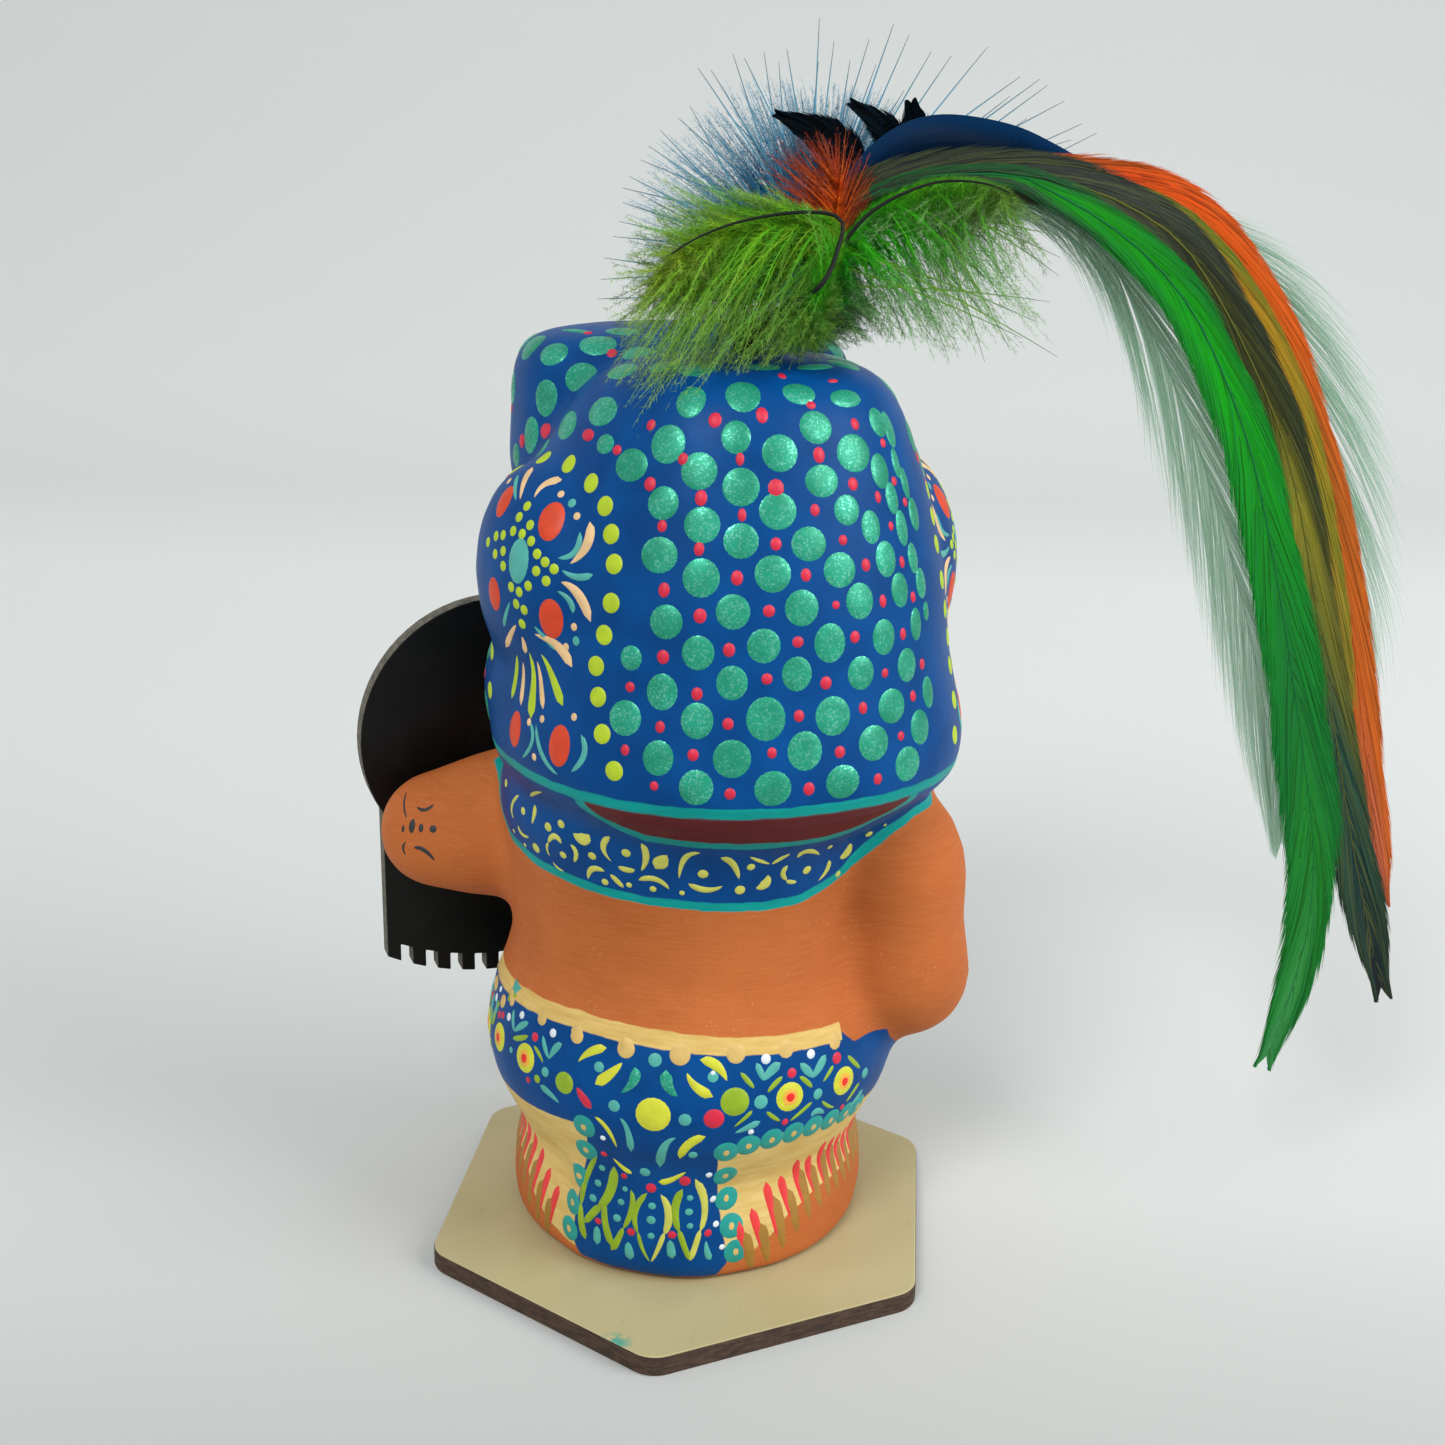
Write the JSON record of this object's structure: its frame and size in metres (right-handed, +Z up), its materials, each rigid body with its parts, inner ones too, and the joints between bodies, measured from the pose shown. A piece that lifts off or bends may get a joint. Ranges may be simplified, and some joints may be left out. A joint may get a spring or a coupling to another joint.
{
  "type": "clay figurine",
  "caption": "Painted clay figurine in a dotted helmet, with a fringed round shield and an arching feather plume, standing on a hexagonal board.",
  "frame": {"origin": "centre of the hexagonal board's underside", "axes": "+Z up, the figure faces -Y with its left hand towards +X, and the long feathers arch over towards -X"},
  "size_m": [0.152, 0.0778, 0.1669],
  "materials": {
    "painted_board": "cream paint on a laser-cut board with browned edges",
    "painted_clay": "unglazed terracotta, burnished, with matt and pearly acrylic paint",
    "black_board": "black paint on a laser-cut board with grey-brown edges",
    "green_feather": "dyed feather, bright green",
    "dark_feather": "dark feather with a slight sheen",
    "yellow_green_feather": "dyed feather, yellow green",
    "orange_feather": "dyed feather, orange",
    "navy_feather": "dark blue feather with a sheen",
    "pale_feather": "thin pale green feather",
    "blue_down": "dyed down, blue"
  },
  "bodies": {
    "root": {"base_plate": "painted_board", "clay_figure": "painted_clay", "shield": "black_board", "feather_green_long": "green_feather", "feather_dark_long": "dark_feather", "feather_yellow_long": "yellow_green_feather", "feather_orange_long": "orange_feather", "feather_navy_short": "navy_feather", "feather_black_short_1": "dark_feather", "feather_black_short_2": "dark_feather", "feather_black_short_3": "dark_feather", "feather_pale_outer": "pale_feather", "feather_pale_inner": "pale_feather", "down_orange": "orange_feather", "down_green_right": "green_feather", "down_green_left": "green_feather", "down_blue": "blue_down"}
  },
  "joints": []
}
